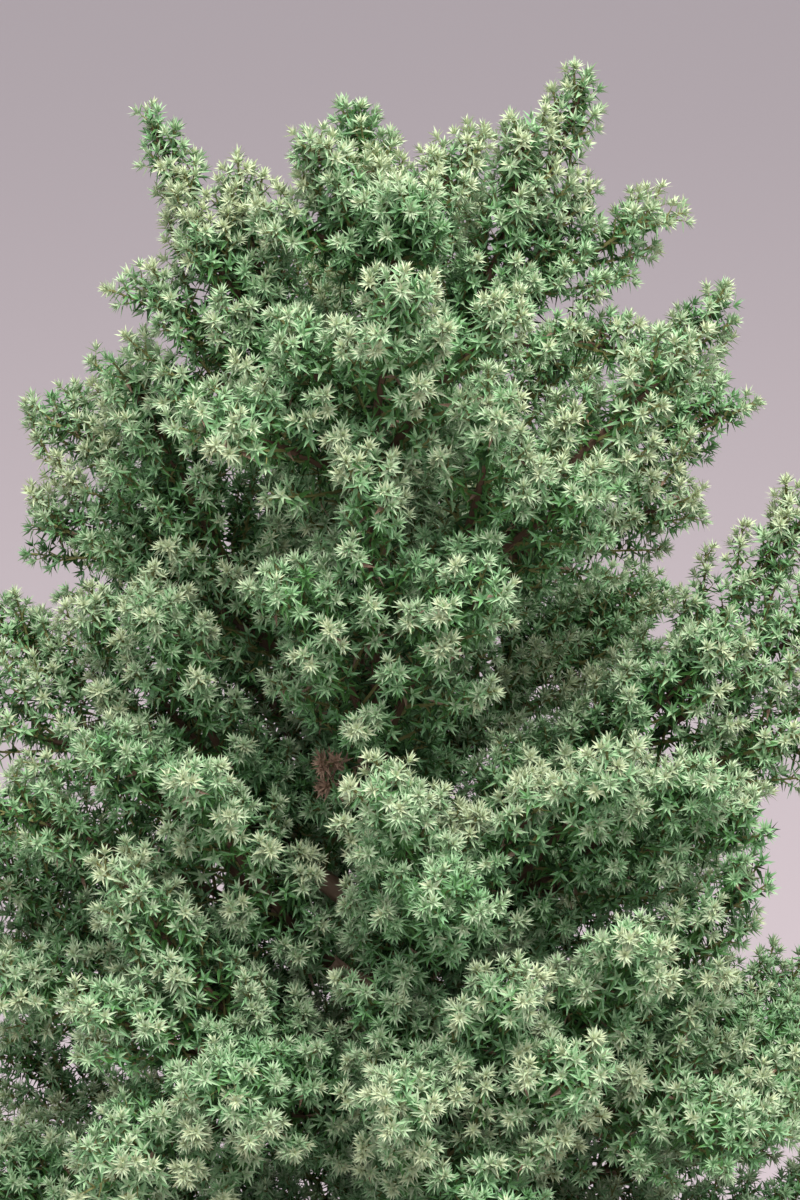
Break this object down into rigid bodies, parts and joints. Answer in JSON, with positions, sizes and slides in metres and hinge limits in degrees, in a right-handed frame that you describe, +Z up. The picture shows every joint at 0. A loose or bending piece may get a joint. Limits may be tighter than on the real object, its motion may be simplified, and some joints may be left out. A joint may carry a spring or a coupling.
{
  "type": "potted dwarf giant sequoia",
  "caption": "Dense dwarf giant sequoia: blue-green needle plumes on upswept boughs round one trunk, growing in a plain round clay pot.",
  "frame": {"origin": "centre of the pot's flat underside", "axes": "+Z up along the trunk, +X to the viewer's right and +Y away from the viewer of the picture"},
  "size_m": [0.325, 0.3183, 0.7168],
  "materials": {
    "clay": "unglazed fired clay, matt, with pale bloom",
    "potting_mix": "moist composted bark mix",
    "bark": "rough fibrous bark",
    "needles": "waxy blue-green needles"
  },
  "bodies": {
    "root": {"pot": "clay", "potting_mix": "potting_mix", "trunk": "bark", "bough_crown_left": "bark", "bough_crown_right": "bark", "bough_crown_front": "bark", "bough_crown_back": "bark", "bough_upper_right_front": "bark", "bough_upper_right": "bark", "bough_upper_left": "bark", "bough_upper_front": "bark", "bough_upper_back": "bark", "bough_mid_left": "bark", "bough_mid_right": "bark", "bough_mid_front_right": "bark", "bough_mid_front": "bark", "bough_mid_left_front": "bark", "bough_mid_back_right": "bark", "bough_mid_back_left": "bark", "bough_low_left_front": "bark", "bough_low_front": "bark", "bough_low_front_right": "bark", "bough_low_right": "bark", "bough_low_back_right": "bark", "bough_low_back": "bark", "bough_low_left": "bark", "bough_skirt_1": "bark", "bough_skirt_2": "bark", "bough_skirt_3": "bark", "bough_skirt_4": "bark", "bough_skirt_5": "bark", "foliage_crown_top": "needles", "foliage_crown_left": "needles", "foliage_crown_right": "needles", "foliage_crown_front": "needles", "foliage_crown_back": "needles", "foliage_upper_right_front": "needles", "foliage_upper_right": "needles", "foliage_upper_left": "needles", "foliage_upper_front": "needles", "foliage_upper_back": "needles", "foliage_mid_left": "needles", "foliage_mid_right": "needles", "foliage_mid_front_right": "needles", "foliage_mid_front": "needles", "foliage_mid_left_front": "needles", "foliage_mid_back_right": "needles", "foliage_mid_back_left": "needles", "foliage_low_left_front": "needles", "foliage_low_front": "needles", "foliage_low_front_right": "needles", "foliage_low_right": "needles", "foliage_low_back_right": "needles", "foliage_low_back": "needles", "foliage_low_left": "needles", "foliage_skirt_1": "needles", "foliage_skirt_2": "needles", "foliage_skirt_3": "needles", "foliage_skirt_4": "needles", "foliage_skirt_5": "needles"}
  },
  "joints": []
}
